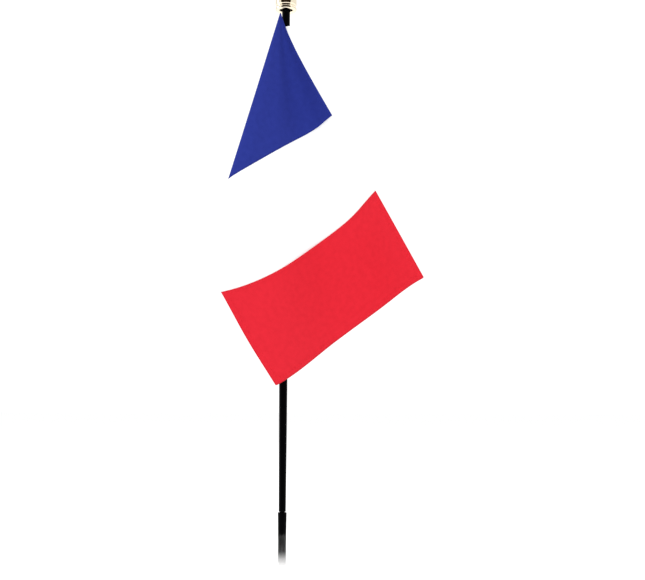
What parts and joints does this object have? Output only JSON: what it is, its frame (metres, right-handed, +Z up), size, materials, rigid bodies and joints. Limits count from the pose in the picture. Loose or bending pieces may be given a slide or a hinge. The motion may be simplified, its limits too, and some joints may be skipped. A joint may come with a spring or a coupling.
{
  "type": "desk flag stand",
  "caption": "Small cloth tricolour draped from a slender black staff with a gilt cup and spear, standing in a round white weighted base.",
  "frame": {"origin": "centre of the foot, on the surface the stand rests on", "axes": "+Z up along the staff, -Y towards the side the flag shows, +X towards the flag's free corner"},
  "size_m": [0.1082, 0.0798, 0.3564],
  "materials": {
    "opal_plastic": "moulded, satin gloss, slightly see-through at the thin neck",
    "steel": "turned, plain",
    "screw_steel": "bright",
    "cover_plastic": "matt moulded",
    "felt": "pressed felt",
    "plug_plastic": "satin black",
    "staff_plastic": "gloss black",
    "gilt": "bright gold plating",
    "collar_plastic": "moulded",
    "white_cloth": "fine plain weave",
    "blue_cloth": "fine plain weave",
    "red_cloth": "fine plain weave"
  },
  "bodies": {
    "base": {"base_shell": "opal_plastic", "base_weight": "steel", "weight_screw_1": "screw_steel", "weight_screw_2": "screw_steel", "weight_screw_3": "screw_steel", "base_cover": "cover_plastic", "foot_pad": "felt"},
    "plug": {"plug_ferrule": "plug_plastic"},
    "staff": {"staff": "staff_plastic"},
    "finial": {"finial_cup": "gilt", "finial_collar": "collar_plastic", "finial_spear": "gilt"},
    "flag": {"pole_sleeve": "white_cloth", "flag_blue": "blue_cloth", "flag_white": "white_cloth", "flag_red": "red_cloth"}
  },
  "joints": [
    {"name": "plug_turn", "type": "hinge", "parent": "base", "child": "plug", "pos_m": [0, 0, 0.03], "axis": [0, 0, 1], "continuous": true},
    {"name": "staff_lift", "type": "slide", "parent": "plug", "child": "staff", "axis": [0, 0, 1], "range_m": [0, 0.03]},
    {"name": "finial_pull", "type": "slide", "parent": "staff", "child": "finial", "axis": [0, 0, 1], "range_m": [0, 0.02]},
    {"name": "flag_swivel", "type": "hinge", "parent": "staff", "child": "flag", "pos_m": [0, 0, 0.25], "axis": [0, 0, 1], "continuous": true}
  ]
}
